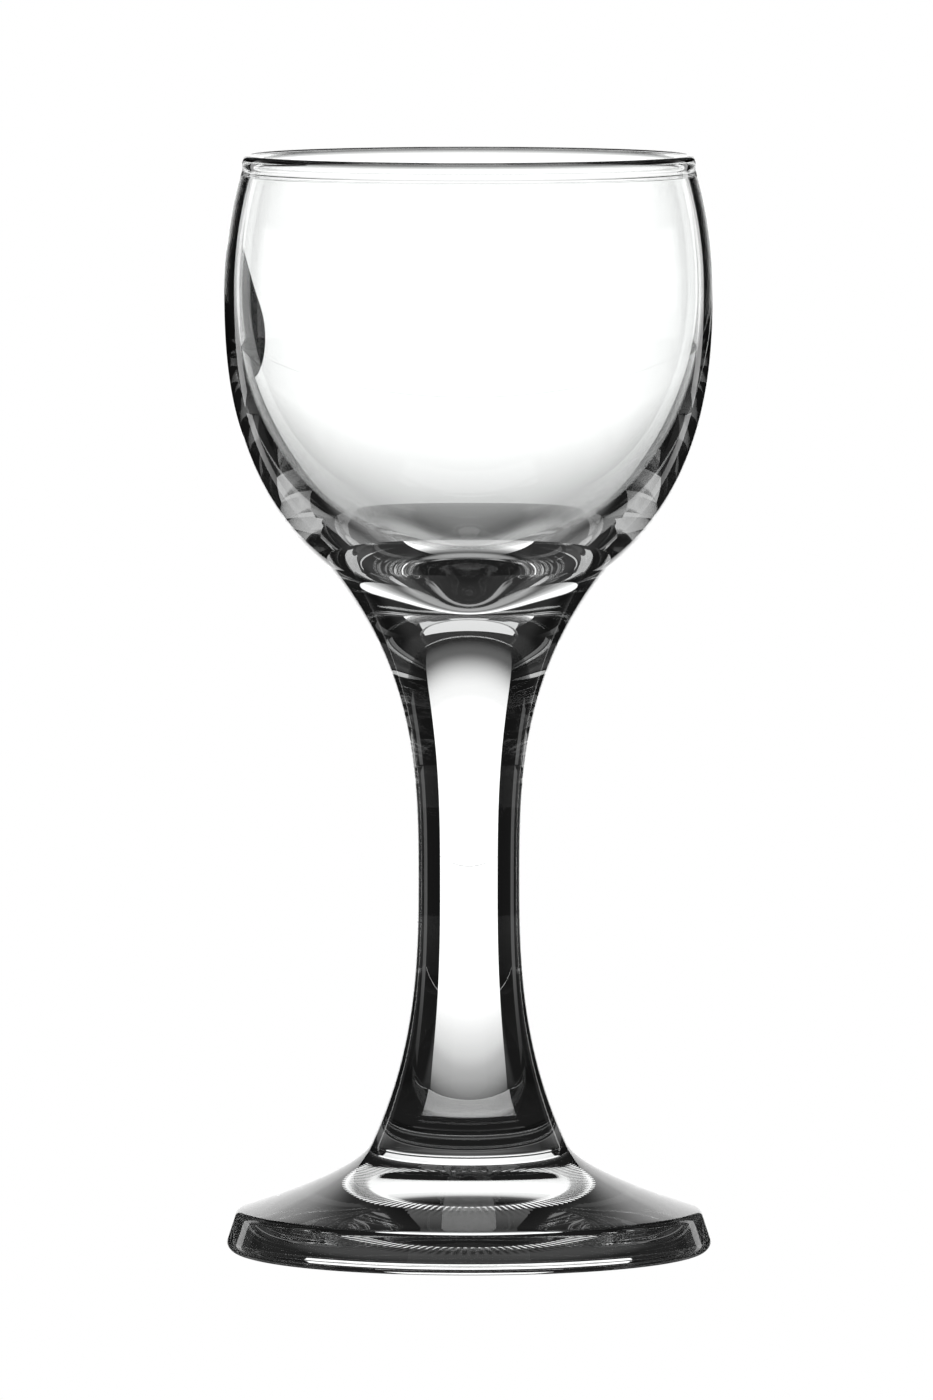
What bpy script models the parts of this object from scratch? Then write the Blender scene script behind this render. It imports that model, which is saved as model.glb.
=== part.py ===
"""A clear liqueur glass: a blown bowl, a solid flared stem and a pressed foot.

The three pieces are turned about the Z axis and stand on Z = 0. The stem is welded to the
foot below it, face to face, and holds the rounded bottom of the bowl in the dish of its
flared top. Units are metres.
"""

import math

import bmesh
import bpy

MM = 0.001

# Foot
FOOT_DIAMETER = 49.5 * MM
FOOT_HEIGHT = 11.0 * MM
FOOT_EDGE_HEIGHT = 4.2 * MM
FOOT_EDGE_DRAFT = math.radians(17)
FOOT_TOP_ROUNDING = 1.1 * MM
FOOT_BOTTOM_ROUNDING = 1.1 * MM
FOOT_SLOPE = math.radians(18)
BEARING_RING_WIDTH = 15.75 * MM
UNDERSIDE_HOLLOW = 0.25 * MM

# Stem
STEM_LENGTH = 59.0 * MM
STEM_WAIST_DIAMETER = 10.4 * MM
STEM_WAIST_HEIGHT = 27.0 * MM
STEM_UPPER_FLARE = 2.9
STEM_LOWER_FLARE = 2.65
FOOT_WELD_DIAMETER = 20.0 * MM
BOWL_WELD_DIAMETER = 28.4 * MM
BOWL_DISH_DIAMETER = 24.0 * MM
BOWL_DISH_DEPTH = 4.6 * MM

# Bowl
BOWL_HEIGHT = 42.0 * MM
BELLY_DIAMETER = 49.8 * MM
BELLY_HEIGHT = 28.3 * MM
BELLY_FULLNESS = 2.45
BELLY_WALL = 1.0 * MM
BASE_THICKNESS = 2.4 * MM
CAVITY_FULLNESS = 2.15
DIMPLE_DEPTH = 2.2 * MM
DIMPLE_RADIUS = 5.0 * MM
RIM_DIAMETER = 46.4 * MM
RIM_BEAD_WIDTH = 1.2 * MM
RIM_BEAD_HEIGHT = 2.1 * MM
RIM_BEAD_STEP = 0.05 * MM
NECK_WALL = 0.85 * MM

# The pieces are modelled a hair apart at each weld.
WELD_GAP = 0.3 * MM

# Fineness of the turned surfaces
TURN_STEPS = 64
CURVE_STEPS = 14
ROUNDING_STEPS = 4

# Clear soda-lime glass
GLASS_COLOUR = (0.93, 0.95, 0.94, 1.0)
GLASS_ROUGHNESS = 0.02
GLASS_IOR = 1.52

# Heights of the two welds and of the rim above the table
FOOT_WELD_Z = FOOT_HEIGHT
BOWL_WELD_Z = FOOT_WELD_Z + STEM_LENGTH
RIM_Z = BOWL_WELD_Z + BOWL_HEIGHT
BELLY_Z = BOWL_WELD_Z + BELLY_HEIGHT


def steps(count):
    """Fractions from 0 to 1 in count equal steps, both ends included."""
    return [i / count for i in range(count + 1)]


def rounding(centre, width, height, start, end, count):
    """Points of an elliptic arc about centre, by angle from +X in the XZ plane."""
    return [
        (
            centre[0] + width * math.cos(start + t * (end - start)),
            centre[1] + height * math.sin(start + t * (end - start)),
        )
        for t in steps(count)
    ]


def sagging_arc(start, sag, length, t):
    """Level at fraction t of a circular arc that leaves start square on and falls by sag over length.

    A negative sag makes the arc rise, and no sag at all makes it a straight line.
    """
    if sag == 0:
        return start
    arc_radius = (length**2 + sag**2) / (2 * sag)
    return start - arc_radius + math.copysign(math.sqrt(arc_radius**2 - (t * length) ** 2), sag)


def tangent_curve(start, corner, end, count):
    """Points of a curve that leaves start towards corner and arrives at end from corner."""
    return [
        tuple(
            (1 - t) ** 2 * a + 2 * t * (1 - t) * b + t**2 * c
            for a, b, c in zip(start, corner, end)
        )
        for t in steps(count)
    ]


def bowl_outer_base():
    """Outside of the bowl from its belly down to the weld, full at first and then drawing in."""
    belly = BELLY_DIAMETER / 2
    weld = BOWL_WELD_DIAMETER / 2
    depth = BELLY_HEIGHT / (1 - (weld / belly) ** 2) ** (1 / BELLY_FULLNESS)
    reach = BELLY_HEIGHT - WELD_GAP / 2
    points = []
    for t in steps(CURVE_STEPS):
        drop = reach * math.sin(t * math.pi / 2)
        radius = belly * math.sqrt(1 - (drop / depth) ** BELLY_FULLNESS)
        points.append((radius, BELLY_Z - drop))
    return points


def bowl_cavity():
    """Inside of the bowl from the middle of its dimple up to the belly."""
    belly = BELLY_DIAMETER / 2 - BELLY_WALL
    floor = BELLY_HEIGHT + BOWL_DISH_DEPTH - BASE_THICKNESS - DIMPLE_DEPTH
    points = []
    for t in steps(2 * CURVE_STEPS):
        radius = belly * math.sin(t * math.pi / 2) ** (2 / CAVITY_FULLNESS)
        drop = floor * math.cos(t * math.pi / 2) ** (2 / CAVITY_FULLNESS)
        dimple = DIMPLE_DEPTH * math.exp(-((radius / DIMPLE_RADIUS) ** 2))
        points.append((radius, BELLY_Z - drop - dimple))
    return points


def bowl_dish(edge_z):
    """The dish of the bowl's weld, from its edge in to the axis, for the face whose flat ring is at edge_z."""
    edge = BOWL_DISH_DIAMETER / 2
    return [
        (t * edge, sagging_arc(edge_z - BOWL_DISH_DEPTH, -BOWL_DISH_DEPTH, edge, t))
        for t in reversed(steps(CURVE_STEPS // 2))
    ]


def rim_bead():
    """The rounded bead of the rim, from the inner wall over the top to the outer wall."""
    half_width = RIM_BEAD_WIDTH / 2
    half_height = RIM_BEAD_HEIGHT / 2
    centre = (RIM_DIAMETER / 2 - half_width, RIM_Z - half_height)
    outer = math.acos((half_width - RIM_BEAD_STEP) / half_width)
    inner_reach = NECK_WALL - (half_width - RIM_BEAD_STEP)
    inner = math.acos(inner_reach / half_width)
    inside = rounding(
        centre, half_width, half_height, math.pi + inner, math.pi / 2, 2 * ROUNDING_STEPS
    )
    outside = rounding(
        centre, half_width, half_height, math.pi / 2, -outer, 2 * ROUNDING_STEPS
    )
    return inside + outside[1:]


def bowl_profile():
    """The bowl's section: up the inside, over the rim, down the outside and in across the weld."""
    bead = rim_bead()
    inner_neck, outer_neck = bead[0], bead[-1]
    inner_belly = BELLY_DIAMETER / 2 - BELLY_WALL
    inner_wall = [
        (
            sagging_arc(inner_belly, inner_belly - inner_neck[0], inner_neck[1] - BELLY_Z, t),
            BELLY_Z + t * (inner_neck[1] - BELLY_Z),
        )
        for t in steps(CURVE_STEPS // 2)
    ]
    outer_belly = BELLY_DIAMETER / 2
    outer_wall = [
        (
            sagging_arc(outer_belly, outer_belly - outer_neck[0], outer_neck[1] - BELLY_Z, t),
            BELLY_Z + t * (outer_neck[1] - BELLY_Z),
        )
        for t in reversed(steps(CURVE_STEPS // 2))
    ]
    base = bowl_outer_base()
    weld = bowl_dish(base[-1][1])
    return bowl_cavity() + inner_wall[1:-1] + bead + outer_wall[1:-1] + base + weld


def stem_radius(height):
    """The stem's radius at a height above the foot weld: slim at the waist and flared to both welds."""
    waist = STEM_WAIST_DIAMETER / 2
    rise = height - STEM_WAIST_HEIGHT
    if rise > 0:
        flare = BOWL_WELD_DIAMETER / 2 - waist
        return waist + flare * (rise / (STEM_LENGTH - STEM_WAIST_HEIGHT)) ** STEM_UPPER_FLARE
    flare = FOOT_WELD_DIAMETER / 2 - waist
    return waist + flare * (-rise / STEM_WAIST_HEIGHT) ** STEM_LOWER_FLARE


def stem_profile():
    """The stem's section, from the middle of its dished top down to the middle of its lower weld."""
    top = STEM_LENGTH - WELD_GAP / 2
    bottom = WELD_GAP / 2
    side = [
        (stem_radius(height), FOOT_WELD_Z + height)
        for height in (top + t * (bottom - top) for t in steps(2 * CURVE_STEPS))
    ]
    dish = bowl_dish(side[0][1])
    return dish[::-1] + side + [(0, side[-1][1])]


def foot_profile():
    """The foot's section: the hollow-curved top, the thick edge and the domed underside."""
    rim = FOOT_DIAMETER / 2
    weld = FOOT_WELD_DIAMETER / 2
    top_z = FOOT_WELD_Z - WELD_GAP / 2
    stem_lean = STEM_LOWER_FLARE * (weld - STEM_WAIST_DIAMETER / 2) / STEM_WAIST_HEIGHT

    # The edge leans in by its draft from the widest ring up to the sloping top.
    bottom_centre = (rim - FOOT_BOTTOM_ROUNDING, FOOT_BOTTOM_ROUNDING)
    shoulder = rim - (FOOT_EDGE_HEIGHT - FOOT_BOTTOM_ROUNDING) * math.tan(FOOT_EDGE_DRAFT)
    turn = math.pi / 2 - FOOT_SLOPE - FOOT_EDGE_DRAFT
    setback = FOOT_TOP_ROUNDING * math.tan(turn / 2)
    slope_end = (
        shoulder - setback * math.cos(FOOT_SLOPE),
        FOOT_EDGE_HEIGHT + setback * math.sin(FOOT_SLOPE),
    )
    top_centre = (
        slope_end[0] - FOOT_TOP_ROUNDING * math.sin(FOOT_SLOPE),
        slope_end[1] - FOOT_TOP_ROUNDING * math.cos(FOOT_SLOPE),
    )

    # The top leaves the weld along the stem's lean and runs out into the slope at the edge.
    slope = math.tan(FOOT_SLOPE)
    rise = slope_end[1] + slope * (slope_end[0] - weld)
    fall = (top_z - rise) / (1 - slope * stem_lean)
    corner = (weld + stem_lean * fall, top_z - fall)

    # The underside rests on a flat ring around a shallow domed hollow.
    ring_inner = bottom_centre[0] - BEARING_RING_WIDTH
    hollow = [
        (t * ring_inner, sagging_arc(UNDERSIDE_HOLLOW, UNDERSIDE_HOLLOW, ring_inner, t))
        for t in reversed(steps(CURVE_STEPS // 2))
    ]
    return (
        [(0, top_z)]
        + tangent_curve((weld, top_z), corner, slope_end, CURVE_STEPS)
        + rounding(
            top_centre,
            FOOT_TOP_ROUNDING,
            FOOT_TOP_ROUNDING,
            math.pi / 2 - FOOT_SLOPE,
            FOOT_EDGE_DRAFT,
            ROUNDING_STEPS,
        )[1:]
        + rounding(
            bottom_centre,
            FOOT_BOTTOM_ROUNDING,
            FOOT_BOTTOM_ROUNDING,
            FOOT_EDGE_DRAFT,
            -math.pi / 2,
            ROUNDING_STEPS,
        )
        + hollow
    )


def glass_material(name):
    """Clear glass for one piece."""
    material = bpy.data.materials.new(name)
    material.use_nodes = True
    shader = material.node_tree.nodes["Principled BSDF"]
    shader.inputs["Base Color"].default_value = GLASS_COLOUR
    shader.inputs["Roughness"].default_value = GLASS_ROUGHNESS
    shader.inputs["Metallic"].default_value = 0.0
    shader.inputs["IOR"].default_value = GLASS_IOR
    shader.inputs["Transmission Weight"].default_value = 1.0
    return material


def turned_piece(name, profile, parent):
    """A solid of revolution about Z from a section that starts and ends on the axis."""
    mesh = bpy.data.meshes.new(name)
    section = bmesh.new()
    points = [section.verts.new((radius, 0, height)) for radius, height in profile]
    for upper, lower in zip(points, points[1:]):
        section.edges.new((upper, lower))
    section.to_mesh(mesh)
    section.free()

    piece = bpy.data.objects.new(name, mesh)
    bpy.context.scene.collection.objects.link(piece)
    piece.parent = parent
    mesh.materials.append(glass_material(name + "_glass"))

    turn = piece.modifiers.new("turn", "SCREW")
    turn.axis = "Z"
    turn.angle = 2 * math.pi
    turn.steps = TURN_STEPS
    turn.render_steps = TURN_STEPS
    turn.use_merge_vertices = True
    turn.merge_threshold = 0.01 * MM
    turn.use_smooth_shade = True
    return piece


def clear_scene():
    """Removes whatever the scene holds."""
    for old in list(bpy.data.objects):
        bpy.data.objects.remove(old)


def main():
    """Builds the three pieces on one empty at the middle of the foot's resting plane."""
    clear_scene()
    base = bpy.data.objects.new("liqueur_glass", None)
    bpy.context.scene.collection.objects.link(base)
    turned_piece("foot", foot_profile(), base)
    turned_piece("stem", stem_profile(), base)
    turned_piece("bowl", bowl_profile(), base)


main()
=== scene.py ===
"""The dressed liqueur glass: a blown bowl, a drawn stem and a pressed foot, all of clear glass.

Each piece is a closed body turned about the Z axis, in metres, and stands for the solid of the
same name. The pieces meet at their welds, where a clear face lets light cross from one piece to
the next unbent, as it does in glass that was melted together.
"""

import logging
import math
from dataclasses import dataclass
from enum import Enum
from typing import Any

import bmesh
import bpy
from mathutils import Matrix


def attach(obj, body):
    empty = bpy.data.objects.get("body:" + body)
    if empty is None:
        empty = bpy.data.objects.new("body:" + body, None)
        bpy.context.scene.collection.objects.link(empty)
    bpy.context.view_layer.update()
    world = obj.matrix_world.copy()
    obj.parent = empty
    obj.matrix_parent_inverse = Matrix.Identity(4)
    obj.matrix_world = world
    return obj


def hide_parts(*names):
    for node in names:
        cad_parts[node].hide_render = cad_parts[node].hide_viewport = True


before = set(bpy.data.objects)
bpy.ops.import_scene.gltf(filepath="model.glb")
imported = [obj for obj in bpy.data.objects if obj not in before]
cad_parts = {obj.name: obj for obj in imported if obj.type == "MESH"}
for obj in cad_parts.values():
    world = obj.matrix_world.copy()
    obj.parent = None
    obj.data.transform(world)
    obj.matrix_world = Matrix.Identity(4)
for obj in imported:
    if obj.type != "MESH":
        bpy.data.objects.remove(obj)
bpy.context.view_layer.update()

MM = 0.001
ON_AXIS = 0.001 * MM
LOG = logging.getLogger("liqueur_glass")

Point = tuple[float, float]
Corner = tuple[float, float, float]
Colour = tuple[float, float, float]


class Value:
    """A socket that takes part in node maths written as Python expressions."""

    def __init__(self, graph: "Graph", socket: bpy.types.NodeSocket) -> None:
        """Keeps the socket and the graph that it belongs to."""
        self.graph = graph
        self.socket = socket

    def pick(self, name: str) -> "Value":
        """Another output of the same node, by its name."""
        return Value(self.graph, self.socket.node.outputs[name])

    def maths(self, operation: str, *terms: Any) -> "Value":
        """A Math node of this operation on the given terms."""
        settings = {"operation": operation}
        return self.graph.add("ShaderNodeMath", settings, dict(enumerate(terms)))

    def ramp(self, low: float, high: float) -> "Value":
        """Rises smoothly from 0 at low to 1 at high."""
        settings = {"interpolation_type": "SMOOTHSTEP"}
        return self.graph.add("ShaderNodeMapRange", settings, {0: self, 1: low, 2: high})

    def within(self, low: float, high: float, soft: float) -> "Value":
        """1 between low and high, falling to 0 over a soft edge centred on each."""
        half = soft / 2
        return self.ramp(low - half, low + half) * (1 - self.ramp(high - half, high + half))

    def __add__(self, other: Any) -> "Value":
        """The sum with another value or number."""
        return self.maths("ADD", self, other)

    def __radd__(self, other: Any) -> "Value":
        """The sum with a number that stands first."""
        return self.maths("ADD", other, self)

    def __sub__(self, other: Any) -> "Value":
        """The difference from another value or number."""
        return self.maths("SUBTRACT", self, other)

    def __rsub__(self, other: Any) -> "Value":
        """The difference from a number that stands first."""
        return self.maths("SUBTRACT", other, self)

    def __mul__(self, other: Any) -> "Value":
        """The product with another value or number."""
        return self.maths("MULTIPLY", self, other)

    def __rmul__(self, other: Any) -> "Value":
        """The product with a number that stands first."""
        return self.maths("MULTIPLY", other, self)

    def __truediv__(self, other: Any) -> "Value":
        """The quotient by another value or number."""
        return self.maths("DIVIDE", self, other)

    def __pow__(self, other: Any) -> "Value":
        """This value raised to a power."""
        return self.maths("POWER", self, other)


class Graph:
    """A node tree under construction, for a finish, a light or a shape."""

    def __init__(self, tree: bpy.types.NodeTree) -> None:
        """Empties the tree and keeps it."""
        self.tree = tree
        tree.nodes.clear()

    def add(
        self,
        kind: str,
        settings: dict[str, Any] | None = None,
        sockets: dict[str | int, Any] | None = None,
        out: str | int = 0,
    ) -> Value | None:
        """Adds a node.

        Args:
            kind: the node's type.
            settings: its properties, which are set first.
            sockets: the value or the link of each input, by name or place.
            out: the output that is handed on, by name or place.

        Returns:
            The chosen output, or None for a node without outputs.
        """
        node = self.tree.nodes.new(kind)
        for name, setting in (settings or {}).items():
            setattr(node, name, setting)
        for name, value in (sockets or {}).items():
            if isinstance(value, Value):
                self.tree.links.new(value.socket, node.inputs[name])
            else:
                node.inputs[name].default_value = value
        return Value(self, node.outputs[out]) if len(node.outputs) else None

    def parts_of(self, vector: Value) -> list[Value]:
        """The X, Y and Z of a vector."""
        split = self.add("ShaderNodeSeparateXYZ", sockets={0: vector})
        return [split.pick(axis) for axis in "XYZ"]


class Facing(Enum):
    """What a run of a turned section is faced with, by its material slot."""

    GLASS = 0
    WELD = 1


@dataclass
class Run:
    """A stretch of a turned section with no corner inside it."""

    points: list[Point]
    facing: Facing = Facing.GLASS


def steps(count: int) -> list[float]:
    """Fractions from 0 to 1 in count equal steps, both ends included."""
    return [i / count for i in range(count + 1)]


def rounding(centre: Point, half: Point, start: float, end: float, count: int) -> list[Point]:
    """Points of an elliptic arc in the section.

    Args:
        centre: the arc's centre.
        half: its half width and half height.
        start: the first angle from the outward direction.
        end: the last angle.
        count: the number of steps.

    Returns:
        The points in order, both ends included.
    """
    angles = [start + t * (end - start) for t in steps(count)]
    return [
        (centre[0] + half[0] * math.cos(a), centre[1] + half[1] * math.sin(a)) for a in angles
    ]


def sagging_arc(start: float, sag: float, length: float, t: float) -> float:
    """Level on a circular arc that leaves square on and falls away.

    Args:
        start: the level where the arc leaves.
        sag: how far it falls over its length; a negative sag rises.
        length: the length it falls over.
        t: the fraction of the length.

    Returns:
        The level at that fraction.
    """
    radius = (length**2 + sag**2) / (2 * sag)
    return start - radius + math.copysign(math.sqrt(radius**2 - (t * length) ** 2), sag)


def tangent_curve(start: Point, corner: Point, end: Point, count: int) -> list[Point]:
    """Points of a curve that leaves one point and arrives at another in given directions.

    Args:
        start: the first point.
        corner: the point that the curve leaves towards and arrives from.
        end: the last point.
        count: the number of steps.

    Returns:
        The points in order, both ends included.
    """
    return [
        tuple(
            (1 - t) ** 2 * a + 2 * t * (1 - t) * b + t**2 * c
            for a, b, c in zip(start, corner, end)
        )
        for t in steps(count)
    ]


def ring(shape: bmesh.types.BMesh, point: Point, turns: list[Point]) -> list[bmesh.types.BMVert]:
    """Adds one ring of a turned body, or its single point on the axis.

    Args:
        shape: the body under construction.
        point: the ring's radius and height.
        turns: the directions of its points.

    Returns:
        The ring's points in order.
    """
    radius, height = point
    if radius < ON_AXIS:
        return [shape.verts.new((0, 0, height))]
    return [shape.verts.new((radius * x, radius * y, height)) for x, y in turns]


def turned(name: str, runs: list[Run], around: int) -> bpy.types.Object:
    """Turns a section about the Z axis into a closed body.

    Args:
        name: the piece's name.
        runs: the section's runs in order, from the axis round to the axis again.
        around: the number of steps round the axis.

    Returns:
        The piece, smooth along each run and sharp where two runs meet.
    """
    turns = [(math.cos(math.tau * t), math.sin(math.tau * t)) for t in steps(around)[:-1]]
    shape = bmesh.new()
    last = ring(shape, runs[0].points[0], turns)
    for run in runs:
        for point in run.points[1:]:
            here = ring(shape, point, turns)
            for k in range(around):
                corners = [last[k % len(last)], here[k % len(here)]]
                corners += [here[(k + 1) % len(here)], last[(k + 1) % len(last)]]
                face = shape.faces.new(dict.fromkeys(corners))
                face.material_index = run.facing.value
                face.smooth = run.facing is Facing.GLASS
            last = here
        for first, second in zip(last, last[1:] + last[:1]):
            edge = shape.edges.get((first, second)) if first is not second else None
            if edge:
                edge.smooth = False
    bmesh.ops.recalc_face_normals(shape, faces=shape.faces)
    mesh = bpy.data.meshes.new(name)
    shape.to_mesh(mesh)
    shape.free()
    piece = bpy.data.objects.new(name, mesh)
    bpy.context.scene.collection.objects.link(piece)
    return piece


class Finish:
    """What a piece of the glass or a sheet of the stage is faced with."""

    def surface(self, graph: Graph) -> Value:
        """Adds the finish's nodes to a graph and gives its shader."""
        raise NotImplementedError

    def material(self, name: str) -> bpy.types.Material:
        """Makes the finish.

        Args:
            name: the material's name.

        Returns:
            The material.
        """
        material = bpy.data.materials.new(name)
        material.use_nodes = True
        graph = Graph(material.node_tree)
        graph.add("ShaderNodeOutputMaterial", sockets={"Surface": self.surface(graph)})
        return material


@dataclass(frozen=True)
class ClearGlass(Finish):
    """Clear soda-lime glass with the faint unevenness that its making leaves."""

    tint: Colour = (0.985, 0.992, 0.988)
    drift: Colour = (0.975, 0.984, 0.98)
    index: float = 1.52
    ripple_scale: float = 70.0
    ripple_detail: float = 1.0
    ripple_height: float = 0.004 * MM
    ripple_stretch: Corner = (1.0, 1.0, 1.0)
    frost_radii: Point | None = None
    frost_edge: float = 0.4 * MM
    frost_height: float = 0.4 * MM
    frost: float = 0.1
    scuff_scale: float = 1800.0
    scuff_detail: float = 2.0

    def surface(self, graph: Graph) -> Value:
        """Adds the glass with its faint ripples, frosted where it slides about.

        Args:
            graph: the material's graph.

        Returns:
            The glass's shader.
        """
        place = graph.add("ShaderNodeTexCoord", out="Object")
        drawn = graph.add("ShaderNodeMapping", sockets={0: place, "Scale": self.ripple_stretch})
        ripple = graph.add(
            "ShaderNodeTexNoise",
            {},
            {"Vector": drawn, "Scale": self.ripple_scale, "Detail": self.ripple_detail},
        )
        tint = graph.add(
            "ShaderNodeMix",
            {"data_type": "RGBA"},
            {0: ripple, 6: (*self.tint, 1.0), 7: (*self.drift, 1.0)},
            out=2,
        )
        normal = graph.add(
            "ShaderNodeBump",
            sockets={"Strength": 1.0, "Distance": self.ripple_height, "Height": ripple},
        )
        sockets = {"Base Color": tint, "Normal": normal, "IOR": self.index}
        sockets |= {"Transmission Weight": 1.0, "Roughness": 0.0}
        if self.frost_radii:
            sockets["Roughness"] = self.frosted(graph, place)
        return graph.add("ShaderNodeBsdfPrincipled", sockets=sockets)

    def frosted(self, graph: Graph, place: Value) -> Value:
        """Roughness of the ribbed band that the glass slides about on.

        Args:
            graph: the material's graph.
            place: the point on the piece.

        Returns:
            The roughness, with fine scuffs.
        """
        x, y, z = graph.parts_of(place)
        radius = (x * x + y * y) ** 0.5
        band = radius.within(*self.frost_radii, self.frost_edge)
        low = 1 - z.ramp(self.frost_height / 2, self.frost_height)
        scuffs = graph.add(
            "ShaderNodeTexNoise",
            {},
            {"Vector": place, "Scale": self.scuff_scale, "Detail": self.scuff_detail},
        )
        return band * low * (self.frost * (0.5 + scuffs))


@dataclass(frozen=True)
class WeldFace(Finish):
    """The clear face across a weld, which neither bends nor mirrors light."""

    def surface(self, graph: Graph) -> Value:
        """Adds a shader that light crosses unchanged."""
        return graph.add("ShaderNodeBsdfTransparent", sockets={"Color": (1.0, 1.0, 1.0, 1.0)})


@dataclass(frozen=True)
class Level:
    """A brightness that a sheet reaches between two heights."""

    start: float
    end: float
    brightness: float


@dataclass(frozen=True)
class Glow(Finish):
    """A lit sheet, which may change in brightness with its height."""

    brightness: float
    levels: tuple[Level, ...] = ()

    def surface(self, graph: Graph) -> Value:
        """Adds the light, from level to level up the sheet.

        Args:
            graph: the material's graph.

        Returns:
            The light's shader.
        """
        if not self.levels:
            return graph.add("ShaderNodeEmission", sockets={"Strength": self.brightness})
        height = graph.parts_of(graph.add("ShaderNodeTexCoord", out="Object"))[2]
        below = self.brightness
        lit: Value | float = below
        for level in self.levels:
            lit = lit + height.ramp(level.start, level.end) * (level.brightness - below)
            below = level.brightness
        return graph.add("ShaderNodeEmission", sockets={"Color": lit})


@dataclass(frozen=True)
class PolishedTable(Finish):
    """A dark polished table top.

    It mirrors at low angles. Its glow carries painted light: a painted pale glow where it is seen
    steeply, a painted pool of light in a wedge behind the glass, and a painted shadow under the
    foot.
    """

    dark: float = 0.012
    # Painted light: the brightness of the painted pool of light in a wedge behind the glass.
    lit: float = 0.06
    wedge_start: Point = (0.022, 0.042)
    wedge_spread: Point = (0.39, 0.47)
    # Painted light: the pale glow painted where the table is seen steeply.
    pale: float = 0.4
    slant: Point = (0.25, 0.4)
    # Painted shadow: the radii over which the painted shade under the foot ends.
    shade: Point = (0.0235, 0.03)
    index: float = 1.5
    polish: float = 3.35
    roughness: float = 0.03

    def surface(self, graph: Graph) -> Value:
        """Adds the table's dark body with its painted light (a lit wedge, a pale glow) and painted
        shadow, under a mirror-like gloss.

        Args:
            graph: the material's graph.

        Returns:
            The table's shader.
        """
        x, y, _ = graph.parts_of(graph.add("ShaderNodeTexCoord", out="Object"))
        # Painted light: the wedge where the painted pool of light lies, starting behind the glass.
        wedge = 1 - (x.maths("ABSOLUTE", x) / y).ramp(*self.wedge_spread)
        # Painted light: the table glows pale where it is seen steeply.
        facing = graph.add("ShaderNodeLayerWeight", sockets={"Blend": 0.5}, out="Facing")
        steep = 1 - facing.ramp(*self.slant)
        # Painted shadow: clear is 0 under the foot, which takes the pale glow and the gloss away
        # there.
        clear = ((x * x + y * y) ** 0.5).ramp(*self.shade)
        glow = self.dark + self.lit * wedge * y.ramp(*self.wedge_start) + self.pale * steep * clear
        # The body's emission is the dark table plus the painted light and the painted shadow.
        body = graph.add("ShaderNodeEmission", sockets={"Color": glow})
        gloss = graph.add(
            "ShaderNodeBsdfAnisotropic",
            sockets={"Color": (1.0, 1.0, 1.0, 1.0), "Roughness": self.roughness},
        )
        share = graph.add("ShaderNodeFresnel", sockets={"IOR": self.index}) * self.polish
        # Painted shadow: the gloss is taken away under the foot too.
        share = share.maths("MINIMUM", share, 1.0) * clear
        return graph.add("ShaderNodeMixShader", sockets={0: share, 1: body, 2: gloss})


@dataclass(frozen=True)
class Welds:
    """Where the pieces meet, for the neighbours that share a weld."""

    foot_height: float = 11.0 * MM
    foot_radius: float = 10.0 * MM
    bowl_height: float = 70.0 * MM
    bowl_radius: float = 14.2 * MM
    dish_radius: float = 12.0 * MM
    dish_depth: float = 4.6 * MM


class GlassPiece:
    """What the pieces of the glass have in common."""

    node: str
    finish: ClearGlass

    @property
    def name(self) -> str:
        """The piece's own name, beside that of the solid it stands for."""
        return "clear_" + self.node

    def build(self) -> bpy.types.Object:
        """Makes the piece in its place and dresses it."""
        raise NotImplementedError

    def facings(self) -> list[bpy.types.Material]:
        """Makes the materials of the piece.

        Returns:
            Its glass and the clear face of its welds, in the order of Facing.
        """
        return [
            self.finish.material(self.name + "_glass"),
            WeldFace().material(self.name + "_weld"),
        ]

    def dress(self, piece: bpy.types.Object) -> bpy.types.Material:
        """Gives a turned piece its glass and the clear face of its welds.

        Args:
            piece: the piece, whose faces already name their slots.

        Returns:
            The piece's glass.
        """
        glass, clear = self.facings()
        piece.data.materials.append(glass)
        piece.data.materials.append(clear)
        return glass

    def place(self, piece: bpy.types.Object) -> None:
        """Puts the piece in the frame, for the solid of the same name.

        Args:
            piece: the piece, built and dressed.
        """
        piece.visible_shadow = False
        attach(piece, "root")
        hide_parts(self.node)


def baked(piece: bpy.types.Object) -> bpy.types.Object:
    """Turns what a piece's modifiers make into its plain mesh.

    Args:
        piece: the piece with its modifiers.

    Returns:
        The same piece, with no modifier left.
    """
    seen = piece.evaluated_get(bpy.context.evaluated_depsgraph_get())
    mesh = bpy.data.meshes.new_from_object(seen)
    mesh.name = piece.name
    for slot in reversed(range(len(mesh.materials))):
        if mesh.materials[slot] is None:
            mesh.materials.pop(index=slot)
    piece.modifiers.clear()
    piece.data = mesh
    return piece


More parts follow.
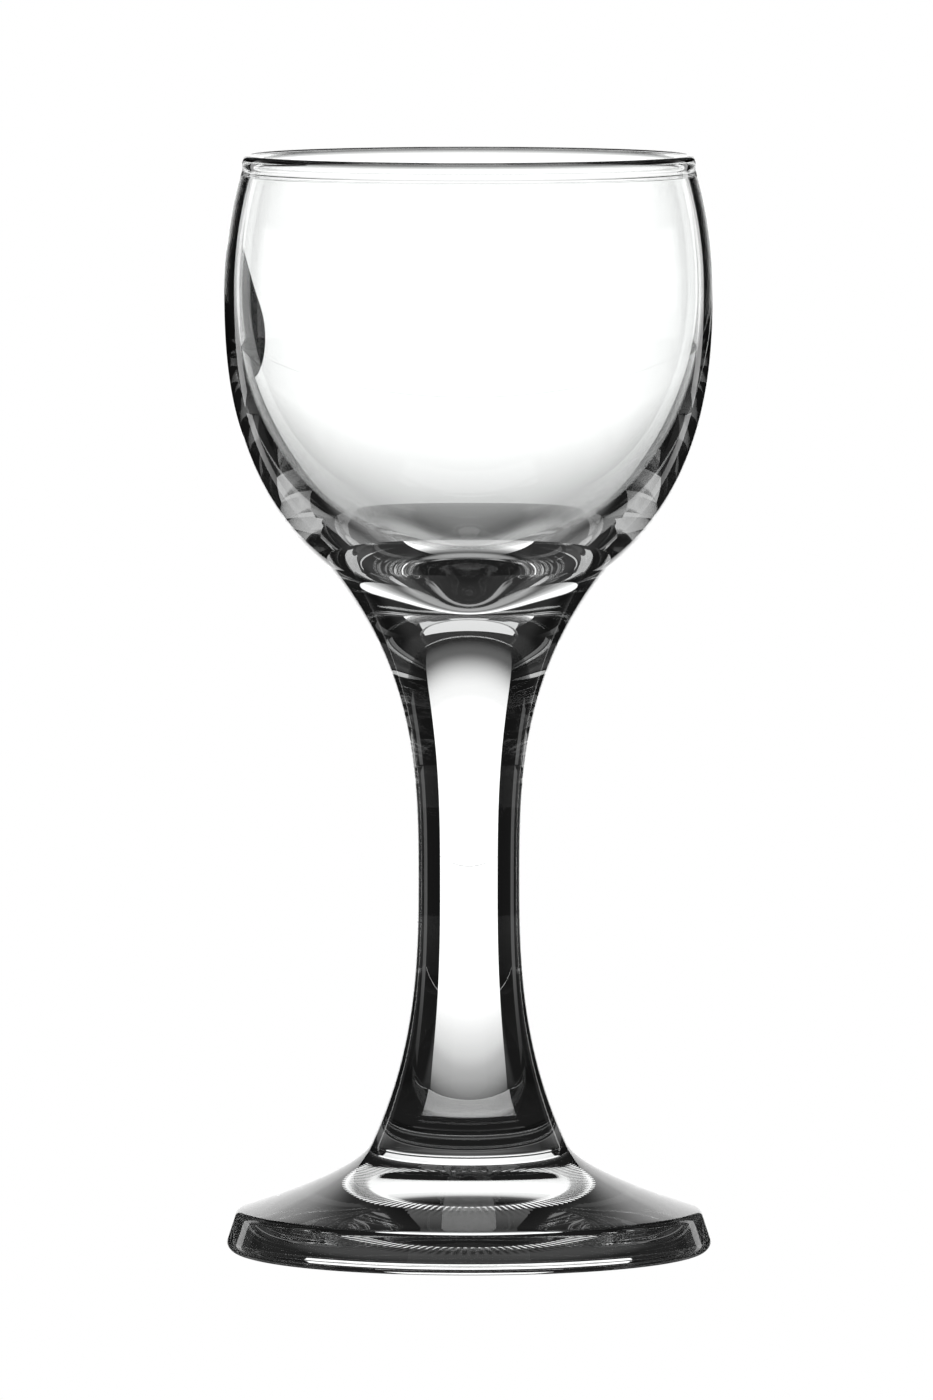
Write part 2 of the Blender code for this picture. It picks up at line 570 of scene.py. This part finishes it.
class ShapeTree:
    """A Geometry Nodes tree with named inputs."""

    def __init__(self, name: str, inputs: dict[str, Any]) -> None:
        """Starts a tree with a shape coming in, a shape going out and its other inputs.

        Args:
            name: the tree's name.
            inputs: the value of each other input, by its name.
        """
        self.tree = bpy.data.node_groups.new(name, "GeometryNodeTree")
        self.graph = Graph(self.tree)
        self.settings: dict[str, Any] = {}
        self.socket("Shape", "INPUT", "NodeSocketGeometry")
        self.socket("Shape", "OUTPUT", "NodeSocketGeometry")
        kinds = {float: "NodeSocketFloat", int: "NodeSocketInt"}
        for label, value in inputs.items():
            kind = kinds.get(type(value), "NodeSocketMaterial")
            self.settings[self.socket(label, "INPUT", kind)] = value
        self.inputs = self.graph.add("NodeGroupInput")

    def socket(self, name: str, way: str, kind: str) -> str:
        """Adds a socket to the tree's interface and gives its identifier."""
        return self.tree.interface.new_socket(name, in_out=way, socket_type=kind).identifier

    def end(self, shape: Value) -> None:
        """Hands the finished shape out of the tree."""
        self.graph.add("NodeGroupOutput", sockets={0: shape})

    def run(self, piece: bpy.types.Object) -> bpy.types.Object:
        """Applies the tree to a piece.

        Args:
            piece: the piece, whose mesh goes into the tree.

        Returns:
            The piece with the tree's result as its plain mesh.
        """
        modifier = piece.modifiers.new(self.tree.name, "NODES")
        modifier.node_group = self.tree
        for identifier, value in self.settings.items():
            modifier[identifier] = value
        return baked(piece)


@dataclass
class Bowl(GlassPiece):
    """The blown bowl: a beaded rim, a thin wall and a thick base with a dimple in its floor."""

    welds: Welds
    node: str = "bowl"
    height: float = 42.0 * MM
    belly_radius: float = 24.9 * MM
    belly_rise: float = 28.3 * MM
    belly_fullness: float = 2.45
    belly_wall: float = 1.0 * MM
    base_thickness: float = 2.4 * MM
    cavity_fullness: float = 2.15
    dimple_depth: float = 2.2 * MM
    dimple_radius: float = 5.0 * MM
    rim_radius: float = 23.2 * MM
    bead_width: float = 1.2 * MM
    bead_height: float = 2.1 * MM
    bead_step: float = 0.05 * MM
    neck_wall: float = 0.85 * MM
    around: int = 256
    along: int = 24
    finish: ClearGlass = ClearGlass()

    @property
    def belly_z(self) -> float:
        """Height of the widest ring above the table."""
        return self.welds.bowl_height + self.belly_rise

    @property
    def belly_inside(self) -> float:
        """Inner radius at the widest ring."""
        return self.belly_radius - self.belly_wall

    def cavity(self) -> list[Point]:
        """Inside of the bowl below its belly.

        Returns:
            The points from the middle of the dimple up to the belly.
        """
        floor = self.belly_rise + self.welds.dish_depth - self.base_thickness - self.dimple_depth
        power = 2 / self.cavity_fullness
        points = []
        for t in steps(3 * self.along):
            radius = self.belly_inside * math.sin(t * math.pi / 2) ** power
            drop = floor * math.cos(t * math.pi / 2) ** power
            dimple = self.dimple_depth * math.exp(-((radius / self.dimple_radius) ** 2))
            points.append((radius, self.belly_z - drop - dimple))
        return points

    def bead(self) -> list[Point]:
        """The rounded bead of the rim.

        Returns:
            The points from the inner wall over the top to the outer wall.
        """
        half = (self.bead_width / 2, self.bead_height / 2)
        top = self.welds.bowl_height + self.height
        centre = (self.rim_radius - half[0], top - half[1])
        outer = math.acos((half[0] - self.bead_step) / half[0])
        inner = math.acos((self.neck_wall - half[0] + self.bead_step) / half[0])
        return rounding(centre, half, math.pi + inner, -outer, 2 * self.along)

    def wall(self, belly: float, neck: Point) -> list[Point]:
        """One side of the wall above the belly.

        Args:
            belly: that side's radius at the belly.
            neck: the end of the bead that it runs up to.

        Returns:
            The points from the belly up to the bead.
        """
        rise = neck[1] - self.belly_z
        return [
            (sagging_arc(belly, belly - neck[0], rise, t), self.belly_z + t * rise)
            for t in steps(self.along)
        ]

    def outer_base(self) -> list[Point]:
        """Outside of the bowl below its belly, full at first and then drawing in.

        Returns:
            The points from the belly down to the weld.
        """
        weld = self.welds.bowl_radius / self.belly_radius
        depth = self.belly_rise / (1 - weld**2) ** (1 / self.belly_fullness)
        drops = [self.belly_rise * math.sin(t * math.pi / 2) for t in steps(2 * self.along)]
        return [
            (
                self.belly_radius * math.sqrt(1 - (drop / depth) ** self.belly_fullness),
                self.belly_z - drop,
            )
            for drop in drops
        ]

    def dish(self) -> list[Point]:
        """The weld that sits in the dished top of the stem.

        Returns:
            The points from the weld's edge in to the axis.
        """
        weld = self.welds
        low = weld.bowl_height - weld.dish_depth
        arc = [
            (t * weld.dish_radius, sagging_arc(low, -weld.dish_depth, weld.dish_radius, t))
            for t in reversed(steps(self.along // 2))
        ]
        return [(weld.bowl_radius, weld.bowl_height), *arc]

    def build(self) -> bpy.types.Object:
        """Turns the bowl's section: up the inside, over the rim, down the outside and in.

        Returns:
            The bowl, dressed.
        """
        bead = self.bead()
        inside = self.cavity() + self.wall(self.belly_inside, bead[0])[1:-1]
        outside = self.wall(self.belly_radius, bead[-1])[-2:0:-1] + self.outer_base()
        runs = [Run(inside + bead + outside), Run(self.dish(), Facing.WELD)]
        piece = turned(self.name, runs, self.around)
        self.dress(piece)
        return piece


@dataclass
class Stem(GlassPiece):
    """The drawn stem: solid, slim at its waist and flared to both welds.

    It is drawn out from a plain rod of rod_radius and rod_length, centred on the origin.
    """

    welds: Welds
    node: str = "stem"
    waist_radius: float = 5.2 * MM
    waist_height: float = 27.0 * MM
    upper_flare: float = 2.9
    lower_flare: float = 2.65
    crease_angle: float = 1.0
    rod_radius: float = 1.0
    rod_length: float = 1.0
    rod_top: float = 0.4999
    around: int = 256
    along: int = 120
    across: int = 16
    finish: ClearGlass = ClearGlass(ripple_scale=120.0, ripple_stretch=(1.0, 1.0, 0.15))

    @property
    def foot_lean(self) -> float:
        """How far the side runs out at the foot weld, for each step down."""
        return self.lower_flare * (self.welds.foot_radius - self.waist_radius) / self.waist_height

    def inputs(self) -> dict[str, Any]:
        """The sizes and the materials that the stem's rule works with.

        Returns:
            The value of each input of the tree, by its name.
        """
        weld = self.welds
        glass, clear = self.facings()
        return {
            "Bottom Height": weld.foot_height,
            "Length": weld.bowl_height - weld.foot_height,
            "Waist Height": self.waist_height,
            "Waist Radius": self.waist_radius,
            "Foot Weld Radius": weld.foot_radius,
            "Bowl Weld Radius": weld.bowl_radius,
            "Upper Flare": self.upper_flare,
            "Lower Flare": self.lower_flare,
            "Dish Radius": weld.dish_radius,
            "Dish Depth": weld.dish_depth,
            "Crease Angle": self.crease_angle,
            "Steps Around": self.around,
            "Steps Along": self.along,
            "Steps Across": self.across,
            "Glass": glass,
            "Weld Face": clear,
        }

    def drawn_to(self, graph: Graph, size: Value) -> Value:
        """Where each point of the rod comes to lie on the stem.

        Args:
            graph: the tree's graph.
            size: the tree's inputs.

        Returns:
            The point's new place.
        """
        x, y, z = graph.parts_of(graph.add("GeometryNodeInputPosition"))
        height = (z + self.rod_length / 2) * size.pick("Length")
        waist, span = size.pick("Waist Radius"), size.pick("Waist Height")
        rise = height - span
        up = rise.maths("MAXIMUM", rise, 0.0) / (size.pick("Length") - span)
        down = rise.maths("MAXIMUM", rise * -1.0, 0.0) / span
        upper = (size.pick("Bowl Weld Radius") - waist) * up ** size.pick("Upper Flare")
        lower = (size.pick("Foot Weld Radius") - waist) * down ** size.pick("Lower Flare")
        side = waist + upper + lower

        # The dish is cut into the top face only, out to its own edge.
        edge, depth = size.pick("Dish Radius"), size.pick("Dish Depth")
        reach = side * (x * x + y * y) ** 0.5
        arc = (edge * edge + depth * depth) / (depth * 2.0)
        chord = arc * arc - reach * reach
        dip = arc - depth - chord.maths("MAXIMUM", chord, 0.0) ** 0.5
        at_top = z.maths("GREATER_THAN", z, self.rod_top)
        level = size.pick("Bottom Height") + height + dip.maths("MINIMUM", dip, 0.0) * at_top
        return graph.add("ShaderNodeCombineXYZ", sockets={0: x * side, 1: y * side, 2: level})

    def rule(self) -> ShapeTree:
        """The rule of the stem's shape, which also dresses it.

        Returns:
            The tree that draws a plain rod out to the stem.
        """
        rule = ShapeTree("drawn_stem", self.inputs())
        graph, size = rule.graph, rule.inputs
        rod = graph.add(
            "GeometryNodeMeshCylinder",
            {"fill_type": "TRIANGLE_FAN"},
            {
                "Vertices": size.pick("Steps Around"),
                "Side Segments": size.pick("Steps Along"),
                "Fill Segments": size.pick("Steps Across"),
                "Radius": self.rod_radius,
                "Depth": self.rod_length,
            },
        )
        spot = self.drawn_to(graph, size)
        drawn = graph.add("GeometryNodeSetPosition", sockets={0: rod, "Position": spot})
        ends = graph.add(
            "FunctionNodeBooleanMath",
            {"operation": "OR"},
            {0: rod.pick("Top"), 1: rod.pick("Bottom")},
        )
        smooth = graph.add(
            "GeometryNodeSetShadeSmooth", {}, {0: drawn, "Shade Smooth": rod.pick("Side")}
        )

        # The rings at the welds stay sharp, or the side would be shaded as if it turned in there.
        fold = graph.add("GeometryNodeInputMeshEdgeAngle")
        creased = fold.maths("GREATER_THAN", fold, size.pick("Crease Angle"))
        crisp = graph.add(
            "GeometryNodeSetShadeSmooth",
            {"domain": "EDGE"},
            {0: smooth, "Selection": creased, "Shade Smooth": False},
        )
        whole = graph.add("GeometryNodeRealizeInstances", sockets={0: crisp})
        glassy = graph.add(
            "GeometryNodeSetMaterial", {}, {0: whole, "Material": size.pick("Glass")}
        )
        dressed = graph.add(
            "GeometryNodeSetMaterial",
            {},
            {0: glassy, "Selection": ends, "Material": size.pick("Weld Face")},
        )
        rule.end(dressed)
        return rule

    def build(self) -> bpy.types.Object:
        """Draws the stem out by its rule.

        Returns:
            The stem, dressed.
        """
        piece = bpy.data.objects.new(self.name, bpy.data.meshes.new(self.name))
        bpy.context.scene.collection.objects.link(piece)
        return self.rule().run(piece)


@dataclass
class Foot(GlassPiece):
    """The pressed foot: a hollow-curved top, a thick edge and a ribbed bearing ring."""

    welds: Welds
    stem_lean: float
    node: str = "foot"
    radius: float = 24.75 * MM
    edge_height: float = 4.2 * MM
    edge_draft: float = math.radians(17)
    top_rounding: float = 1.1 * MM
    bottom_rounding: float = 1.1 * MM
    slope: float = math.radians(18)
    ring_width: float = 15.75 * MM
    hollow: float = 0.25 * MM
    rib_count: int = 96
    rib_width: float = 2.1 * MM
    rib_depth: float = 0.02 * MM
    rib_run_out: float = 0.5 * MM
    rib_level: float = 0.01 * MM
    around: int = 768
    along: int = 30
    finish: ClearGlass = ClearGlass(frost_radii=(7.9 * MM, 10.0 * MM))

    @property
    def ring_outer(self) -> float:
        """Outer radius of the flat bearing ring."""
        return self.radius - self.bottom_rounding

    @property
    def ring_inner(self) -> float:
        """Inner radius of the flat bearing ring."""
        return self.ring_outer - self.ring_width

    def top(self) -> list[Point]:
        """The top of the foot, which runs on from the lean of the stem's side.

        Returns:
            The points from the weld out to the slope's end, and the rounding over the edge.
        """
        weld = (self.welds.foot_radius, self.welds.foot_height)
        lean_in = (self.edge_height - self.bottom_rounding) * math.tan(self.edge_draft)
        turn = math.pi / 2 - self.slope - self.edge_draft
        setback = self.top_rounding * math.tan(turn / 2)
        end = (
            self.radius - lean_in - setback * math.cos(self.slope),
            self.edge_height + setback * math.sin(self.slope),
        )
        centre = (
            end[0] - self.top_rounding * math.sin(self.slope),
            end[1] - self.top_rounding * math.cos(self.slope),
        )
        incline = math.tan(self.slope)
        rise = end[1] + incline * (end[0] - weld[0])
        fall = (weld[1] - rise) / (1 - incline * self.stem_lean)
        corner = (weld[0] + self.stem_lean * fall, weld[1] - fall)
        half = (self.top_rounding, self.top_rounding)
        over = rounding(centre, half, math.pi / 2 - self.slope, self.edge_draft, self.along // 3)
        return tangent_curve(weld, corner, end, self.along) + over[1:]

    def edge(self) -> list[Point]:
        """The rounding from the thick edge under to the bearing ring.

        Returns:
            The points from the edge down to the table.
        """
        centre = (self.ring_outer, self.bottom_rounding)
        half = (self.bottom_rounding, self.bottom_rounding)
        return rounding(centre, half, self.edge_draft, -math.pi / 2, self.along // 3)

    def underside(self) -> list[Point]:
        """The bearing ring, with finer steps where the ribs go, and the domed hollow inside it.

        Returns:
            The points from the ring's outer edge in to the axis.
        """
        plain = self.ring_width - self.rib_width
        flat = [(self.ring_outer - t * plain, 0.0) for t in steps(self.along // 5)[1:]]
        ribbed = [
            (self.ring_inner + t * self.rib_width, 0.0)
            for t in reversed(steps(self.along // 3)[1:-1])
        ]
        dome = [
            (t * self.ring_inner, sagging_arc(self.hollow, self.hollow, self.ring_inner, t))
            for t in reversed(steps(self.along // 2))
        ]
        return flat + ribbed + dome

    def ribs(self, glass: bpy.types.Material) -> ShapeTree:
        """The pressed ribs of the bearing ring.

        Args:
            glass: the foot's glass.

        Returns:
            The tree that raises the grooves between the ribs.
        """
        rule = ShapeTree(
            "pressed_ribs",
            {
                "Rib Count": self.rib_count,
                "Rib Depth": self.rib_depth,
                "Inner Radius": self.ring_inner,
                "Outer Radius": self.ring_inner + self.rib_width,
                "Run Out": self.rib_run_out,
                "Glass": glass,
            },
        )
        graph, size = rule.graph, rule.inputs
        x, y, z = graph.parts_of(graph.add("GeometryNodeInputPosition"))
        radius = (x * x + y * y) ** 0.5
        turn = x.maths("ARCTAN2", y, x)
        wave = turn.maths("COSINE", turn * size.pick("Rib Count"))
        inner = (radius - size.pick("Inner Radius")) / size.pick("Run Out")
        outer = (size.pick("Outer Radius") - radius) / size.pick("Run Out")
        band = inner.ramp(0.0, 1.0) * outer.ramp(0.0, 1.0)
        low = z.maths("LESS_THAN", z, self.rib_level)
        lift = (0.5 - wave * 0.5) * size.pick("Rib Depth") * band * low
        offset = graph.add("ShaderNodeCombineXYZ", sockets={2: lift})
        pressed = graph.add(
            "GeometryNodeSetPosition", sockets={0: size.pick("Shape"), "Offset": offset}
        )
        whole = graph.add("GeometryNodeRealizeInstances", sockets={0: pressed})
        glassy = graph.add("GeometryNodeMaterialSelection", {}, {"Material": size.pick("Glass")})
        dressed = graph.add(
            "GeometryNodeSetMaterial",
            {},
            {0: whole, "Selection": glassy, "Material": size.pick("Glass")},
        )
        rule.end(dressed)
        return rule

    def build(self) -> bpy.types.Object:
        """Turns the foot's section and presses the ribs into its bearing ring.

        Returns:
            The foot, dressed.
        """
        weld = self.welds
        across = [(0.0, weld.foot_height), (weld.foot_radius, weld.foot_height)]
        runs = [
            Run(across, Facing.WELD),
            Run(self.top() + self.edge() + self.underside()),
        ]
        piece = turned(self.name, runs, self.around)
        glass = self.dress(piece)
        return self.ribs(glass).run(piece)


DISC_STEPS = 96


def upright(start: Point, end: Point, rise: Point) -> list[Corner]:
    """Corners of an upright sheet between two points of the table."""
    low, high = rise
    return [(*start, low), (*end, low), (*end, high), (*start, high)]


def lying(across: Point, along: Point, height: float) -> list[Corner]:
    """Corners of a level sheet between two places across and two along the view."""
    (left, right), (near, far) = across, along
    return [(x, y, height) for x, y in ((left, near), (right, near), (right, far), (left, far))]


def standing_disc(centre: Corner, radius: float) -> list[Corner]:
    """Corners of a round sheet that faces along the view."""
    points = rounding((centre[0], centre[2]), (radius, radius), 0.0, math.tau, DISC_STEPS)
    return [(x, centre[1], z) for x, z in points[:-1]]


def lying_disc(radius: float, height: float) -> list[Corner]:
    """Corners of a level round sheet about the glass's axis."""
    points = rounding((0.0, 0.0), (radius, radius), 0.0, math.tau, DISC_STEPS)
    return [(x, y, height) for x, y in points[:-1]]


def staged(name: str, shape: bmesh.types.BMesh, finish: Finish, seen: bool) -> None:
    """Makes an object of the stage.

    Args:
        name: the object's name.
        shape: its shape, which is used up.
        finish: what it is faced with.
        seen: whether the camera sees it, or only the light that the glass bends or mirrors.
    """
    mesh = bpy.data.meshes.new(name)
    shape.to_mesh(mesh)
    shape.free()
    mesh.materials.append(finish.material(name))
    thing = bpy.data.objects.new(name, mesh)
    bpy.context.scene.collection.objects.link(thing)
    thing.visible_camera = seen
    thing.visible_transmission = not seen
    thing.visible_glossy = not seen
    thing.visible_diffuse = False
    thing.visible_shadow = False


@dataclass(frozen=True)
class Sheet:
    """A lit, black or polished sheet of the stage."""

    name: str
    corners: list[Corner]
    finish: Finish

    def stand(self, seen: bool) -> None:
        """Puts the sheet on the stage.

        Args:
            seen: whether the camera sees it, or only the light that the glass bends or mirrors.
        """
        shape = bmesh.new()
        shape.faces.new([shape.verts.new(corner) for corner in self.corners])
        staged(self.name, shape, self.finish, seen)


def both_sides(name: str, corners: list[Corner], finish: Finish) -> list[Sheet]:
    """A sheet on the right of the glass and its mirror image on the left.

    Args:
        name: what the two are called, after their side.
        corners: the right sheet's corners.
        finish: what both are faced with.

    Returns:
        The left and the right sheet.
    """
    mirrored = [(-x, y, z) for x, y, z in reversed(corners)]
    return [Sheet("left_" + name, mirrored, finish), Sheet("right_" + name, corners, finish)]


WHITE = Glow(1.0)
BLACK = Glow(0.006)


@dataclass(frozen=True)
class Lighting:
    """The sheets whose light the glass bends and mirrors.

    Places are across to the right, along the view to the back, and up from the table.
    """

    table_radius: float = 0.9
    table_drop: float = 0.05 * MM
    table: PolishedTable = PolishedTable()
    lamp_across: Point = (-0.25, 0.25)
    lamp_along: Point = (-0.02, 0.2)
    lamp_height: float = 0.6
    lamp: Glow = Glow(0.8)
    back: float = 0.5
    background_half: float = 0.47
    background_rise: Point = (0.0, 0.6)
    background: Glow = Glow(
        1.35, (Level(0.17, 0.215, 1.05), Level(0.212, 0.385, 0.12), Level(0.385, 0.55, 0.01))
    )
    wing_end: float = 0.64
    wing_rise: Point = (0.0, 0.4)
    wing: Glow = Glow(0.1)
    flag_along: float = 0.108
    flag_rise: Point = (0.0, 0.4)
    left_flag: Point = (-0.1, -0.047)
    right_flag: Point = (0.0475, 0.1)
    dot_centre: Corner = (-0.038, 0.04, 0.09)
    dot_radius: float = 0.013
    side_across: float = 0.25
    side_along: Point = (-0.15, 0.12)
    side_rise: Point = (0.0, 0.16)
    side: Glow = Glow(0.05)
    window_across: float = 0.24
    window_along: Point = (-0.14, 0.11)
    window_rise: Point = (0.07, 0.135)
    window: Glow = Glow(0.6)
    shelf_across: Point = (0.09, 0.24)
    shelf_along: Point = (-0.16, 0.1)
    shelf_height: float = 0.064
    card_distance: float = 2.2
    front_card_half: float = 1.3
    side_card_along: Point = (-1.2, 0.8)
    card_rise: Point = (0.36, 1.3)
    card: Glow = Glow(0.2)

    def facing_view(self, across: Point, along: float, rise: Point) -> list[Corner]:
        """Corners of an upright sheet that faces along the view."""
        return upright((across[0], along), (across[1], along), rise)

    def facing_side(self, across: float, along: Point, rise: Point) -> list[Corner]:
        """Corners of an upright sheet that faces across the view."""
        return upright((across, along[1]), (across, along[0]), rise)

    def behind(self) -> list[Sheet]:
        """The bright background and the black sheets before it, which give the dark outlines.

        Returns:
            The sheets behind the glass.
        """
        half = self.background_half
        background = self.facing_view((-half, half), self.back, self.background_rise)
        wing = self.facing_view((half, self.wing_end), self.back, self.wing_rise)
        left_flag = self.facing_view(self.left_flag, self.flag_along, self.flag_rise)
        right_flag = self.facing_view(self.right_flag, self.flag_along, self.flag_rise)
        return [
            Sheet("background", background, self.background),
            *both_sides("wing", wing, self.wing),
            Sheet("left_flag", left_flag, BLACK),
            Sheet("left_dot", standing_disc(self.dot_centre, self.dot_radius), BLACK),
            Sheet("right_flag", right_flag, BLACK),
        ]

    def beside(self) -> list[Sheet]:
        """The sheets at both sides of the glass, and the faint cards that light its other views.

        Returns:
            The sides, the windows before them, the cards, and the shelves under the windows.
        """
        side = self.facing_side(self.side_across, self.side_along, self.side_rise)
        window = self.facing_side(self.window_across, self.window_along, self.window_rise)
        half = self.front_card_half
        front = self.facing_view((-half, half), -self.card_distance, self.card_rise)
        flank = self.facing_side(self.card_distance, self.side_card_along, self.card_rise)
        shelf = lying(self.shelf_across, self.shelf_along, self.shelf_height)
        return [
            *both_sides("side", side, self.side),
            *both_sides("window", window, self.window),
            Sheet("front_card", front, self.card),
            *both_sides("card", flank, self.card),
            *both_sides("shelf", shelf, BLACK),
        ]

    def sheets(self) -> list[Sheet]:
        """All the sheets, from the table top and the lamp over it.

        Returns:
            The sheets in the order that they are set out.
        """
        lamp = lying(self.lamp_across, self.lamp_along, self.lamp_height)
        return [
            Sheet("table_top", lying_disc(self.table_radius, -self.table_drop), self.table),
            Sheet("lamp", lamp, self.lamp),
            *self.behind(),
            *self.beside(),
        ]


@dataclass
class Studio:
    """The pale floor, the white backdrop, the sheets round the glass and the camera."""

    distance: float = 1.596
    elevation: float = math.radians(4.1)
    aim: Corner = (-0.25 * MM, 0.0, 56.4 * MM)
    half_view: float = 71.37 * MM
    sensor: float = 36.0
    sight: float = 100.0
    backdrop_radius: float = 6.0
    backdrop_fineness: int = 4
    floor_drop: float = 0.1 * MM
    dim: float = 0.012
    bounces: int = 28
    clear_bounces: int = 32
    lighting: Lighting = Lighting()

    def camera(self) -> None:
        """Sets the camera at the photograph's height and distance."""
        data = bpy.data.cameras.new("camera")
        data.sensor_width = self.sensor
        data.lens = self.sensor * self.distance / (2 * self.half_view)
        data.clip_end = self.sight
        camera = bpy.data.objects.new("camera", data)
        camera.location = (
            self.aim[0],
            self.aim[1] - self.distance * math.cos(self.elevation),
            self.aim[2] + self.distance * math.sin(self.elevation),
        )
        camera.rotation_euler = (math.pi / 2 - self.elevation, 0.0, 0.0)
        bpy.context.scene.collection.objects.link(camera)
        bpy.context.scene.camera = camera

    def surround(self) -> None:
        """Sets out the pale floor and the white backdrop that the camera sees."""
        Sheet("pale_floor", lying_disc(self.backdrop_radius, -self.floor_drop), WHITE).stand(True)
        dome = bmesh.new()
        bmesh.ops.create_icosphere(
            dome, subdivisions=self.backdrop_fineness, radius=self.backdrop_radius
        )
        staged("white_backdrop", dome, WHITE, True)

    def light(self) -> None:
        """Lights the glass with the sheets round it and a dim room."""
        for sheet in self.lighting.sheets():
            sheet.stand(False)
        world = bpy.data.worlds.new("studio")
        world.use_nodes = True
        bpy.context.scene.world = world
        graph = Graph(world.node_tree)
        room = graph.add("ShaderNodeBackground", sockets={"Strength": self.dim})
        graph.add("ShaderNodeOutputWorld", sockets={"Surface": room})

    def exposure(self) -> None:
        """Keeps whites white and lets light cross every wall of the glass."""
        scene = bpy.context.scene
        scene.view_settings.view_transform = "Standard"
        scene.cycles.max_bounces = self.bounces
        scene.cycles.glossy_bounces = self.bounces
        scene.cycles.transmission_bounces = self.bounces
        scene.cycles.transparent_max_bounces = self.clear_bounces


def main() -> None:
    """Sets the studio up, then builds and places the pieces from the foot up."""
    logging.basicConfig(level=logging.INFO)
    studio = Studio()
    studio.camera()
    studio.surround()
    studio.light()
    studio.exposure()
    welds = Welds()
    stem = Stem(welds)
    for part in (Foot(welds, stem.foot_lean), stem, Bowl(welds)):
        piece = part.build()
        part.place(piece)
        LOG.info("%s: %d faces", piece.name, len(piece.data.polygons))


if __name__ == "__main__":
    main()
